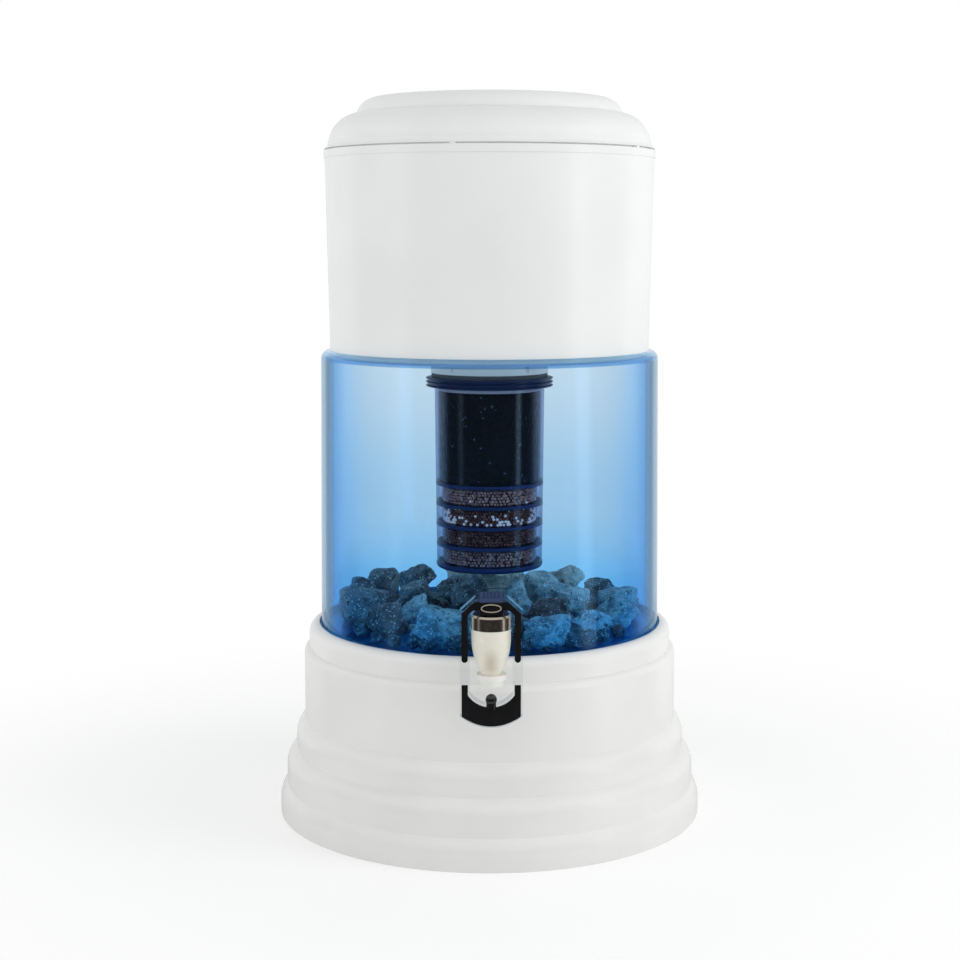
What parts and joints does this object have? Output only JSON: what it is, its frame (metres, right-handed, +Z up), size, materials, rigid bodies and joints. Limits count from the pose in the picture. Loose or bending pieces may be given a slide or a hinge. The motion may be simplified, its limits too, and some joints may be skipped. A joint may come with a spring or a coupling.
{
  "type": "gravity water filter with tap",
  "caption": "Counter-top gravity water filter: white upper tank over a clear blue tank with stones, a hanging filter cartridge, a stepped stand and a push-back tap.",
  "frame": {"origin": "centre of the ring on which the stand rests", "axes": "+Z up along the axis of the tanks; the tap faces -Y; +X to the right of someone who faces the tap"},
  "size_m": [0.2986, 0.3289, 0.497],
  "materials": {
    "white_plastic": "smooth moulded white",
    "stand_plastic": "smooth moulded white",
    "blue_clear": "clear blue",
    "rock": "rough broken stone",
    "ceramic_white": "fine unglazed",
    "dark_blue_plastic": "smooth moulded",
    "seal_rubber": "smooth",
    "clear_casing": "clear tinted",
    "felt": "pressed felt",
    "carbon": "granules",
    "pink_balls": "fired balls",
    "silver_balls": "fired balls",
    "red_balls": "fired balls",
    "tap_cream": "translucent moulded",
    "tap_chrome": "mirror plated",
    "silicone": "smooth",
    "stem_plastic": "smooth moulded",
    "spring_steel": "drawn wire",
    "lever_clear": "clear",
    "lever_black": "polished moulded"
  },
  "bodies": {
    "base": {"stand": "stand_plastic"},
    "lower_vessel": {"lower_tank": "blue_clear", "mineral_stones": "rock", "tap_body": "tap_cream", "tap_bonnet": "tap_chrome", "tap_washer_outer": "silicone", "tap_washer_inner": "silicone", "shank_nut": "tap_cream"},
    "valve": {"valve_stem": "stem_plastic", "valve_seat_cup": "silicone", "valve_spring": "spring_steel"},
    "tap_lever": {"lever_frame": "lever_clear", "lever_hub": "lever_black", "hub_ring": "tap_chrome", "lever_trim_upper": "lever_black", "lever_trim_lower": "lever_black", "lever_pin": "spring_steel"},
    "upper_vessel": {"upper_tank": "white_plastic", "ceramic_dome": "ceramic_white", "dome_base": "dark_blue_plastic", "dome_gasket": "seal_rubber", "cartridge_gasket": "seal_rubber", "cartridge_cover": "dark_blue_plastic", "cartridge_casing": "clear_casing", "media_rings": "clear_casing", "inlet_pad": "felt", "carbon_bed": "carbon", "media_separators": "dark_blue_plastic", "mineral_bed_upper": "pink_balls", "silver_bead_bed": "silver_balls", "mineral_bed_middle": "red_balls", "mineral_bed_lower": "pink_balls", "cartridge_cap": "dark_blue_plastic"},
    "cover": {"lid": "white_plastic"}
  },
  "joints": [
    {"name": "tank_lift", "type": "slide", "parent": "base", "child": "lower_vessel", "axis": [0, 0, 1], "range_m": [0, 0.06]},
    {"name": "upper_tank_lift", "type": "slide", "parent": "lower_vessel", "child": "upper_vessel", "axis": [0, 0, 1], "range_m": [0, 0.2]},
    {"name": "lid_lift", "type": "slide", "parent": "upper_vessel", "child": "cover", "axis": [0, 0, 1], "range_m": [0, 0.08]},
    {"name": "lever_hinge", "type": "hinge", "parent": "lower_vessel", "child": "tap_lever", "pos_m": [0, -0.174, 0.1782], "axis": [1, 0, 0], "range_deg": [0, 14]},
    {"name": "valve_lift", "type": "slide", "parent": "lower_vessel", "child": "valve", "axis": [0, 0, 1], "range_m": [0, 0.0017], "stiffness_N_per_m": 100, "springref_m": -0.004, "deforming": ["valve_spring"]}
  ],
  "couplings": [
    {"joint": "valve_lift", "follows": "lever_hinge", "m_per_rad": 0.006931}
  ]
}
